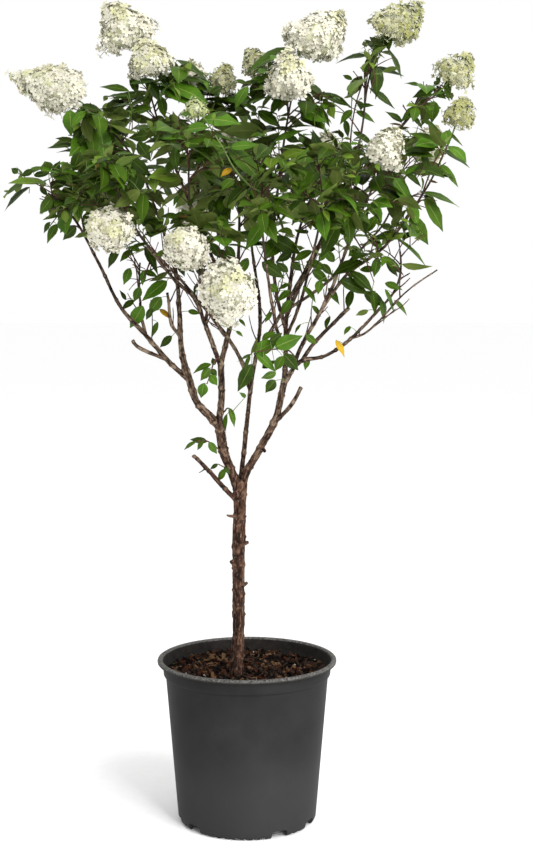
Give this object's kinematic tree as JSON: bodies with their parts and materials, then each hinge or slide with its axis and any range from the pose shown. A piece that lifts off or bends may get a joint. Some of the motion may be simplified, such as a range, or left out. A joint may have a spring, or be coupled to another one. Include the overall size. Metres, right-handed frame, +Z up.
{
  "type": "panicle hydrangea tree in a nursery pot",
  "caption": "Tree-form panicle hydrangea with a bare trunk, forking limbs, a rounded leafy crown and cone-shaped flower heads, in a round tapered nursery pot.",
  "frame": {"origin": "centre of the pot's flat underside", "axes": "+Z up along the trunk, +X to the right of the pictured side, +Y away from the viewer of that side"},
  "size_m": [0.9757, 0.7055, 1.6187],
  "materials": {
    "pot_plastic": "moulded, faintly worn at the rim",
    "bark_mulch": "loose bark chips and potting mix",
    "bark": "flaking grey-brown bark",
    "foliage": "leaves, young twigs and flower heads"
  },
  "bodies": {
    "root": {"pot": "pot_plastic", "soil": "bark_mulch", "trunk": "bark", "trunk_stub": "bark", "left_bough": "bark", "left_outer_bough": "bark", "left_upright_bough": "bark", "far_left_bough": "bark", "left_stub": "bark", "left_spur": "bark", "left_low_bough": "bark", "inner_bough": "bark", "inner_left_bough": "bark", "inner_right_bough": "bark", "inner_rising_bough": "bark", "low_front_bough": "bark", "front_left_bough": "bark", "right_bough": "bark", "right_stub": "bark", "right_upright_bough": "bark", "right_rising_bough": "bark", "right_outer_rising_bough": "bark", "central_rising_bough": "bark", "right_outer_bough": "bark", "right_bare_twig": "bark", "right_spur": "bark", "right_inner_bough": "bark", "right_side_bough": "bark", "front_right_bough": "bark", "front_centre_bough": "bark", "middle_bough": "bark", "back_left_bough": "bark", "back_rising_bough": "bark", "back_right_bough": "bark", "back_side_bough": "bark", "left_tip_foliage": "foliage", "left_upper_foliage": "foliage", "top_left_foliage": "foliage", "back_top_foliage": "foliage", "top_centre_foliage": "foliage", "top_right_foliage": "foliage", "right_upper_foliage": "foliage", "right_side_foliage": "foliage", "right_lower_foliage": "foliage", "right_mid_foliage": "foliage", "front_right_foliage": "foliage", "front_centre_foliage": "foliage", "front_left_foliage": "foliage", "low_front_foliage": "foliage", "left_mid_foliage": "foliage", "left_low_foliage": "foliage", "core_foliage": "foliage", "core_right_foliage": "foliage", "back_left_foliage": "foliage", "back_centre_foliage": "foliage", "back_right_foliage": "foliage", "back_side_foliage": "foliage", "low_right_foliage": "foliage", "low_left_foliage": "foliage"}
  },
  "joints": []
}
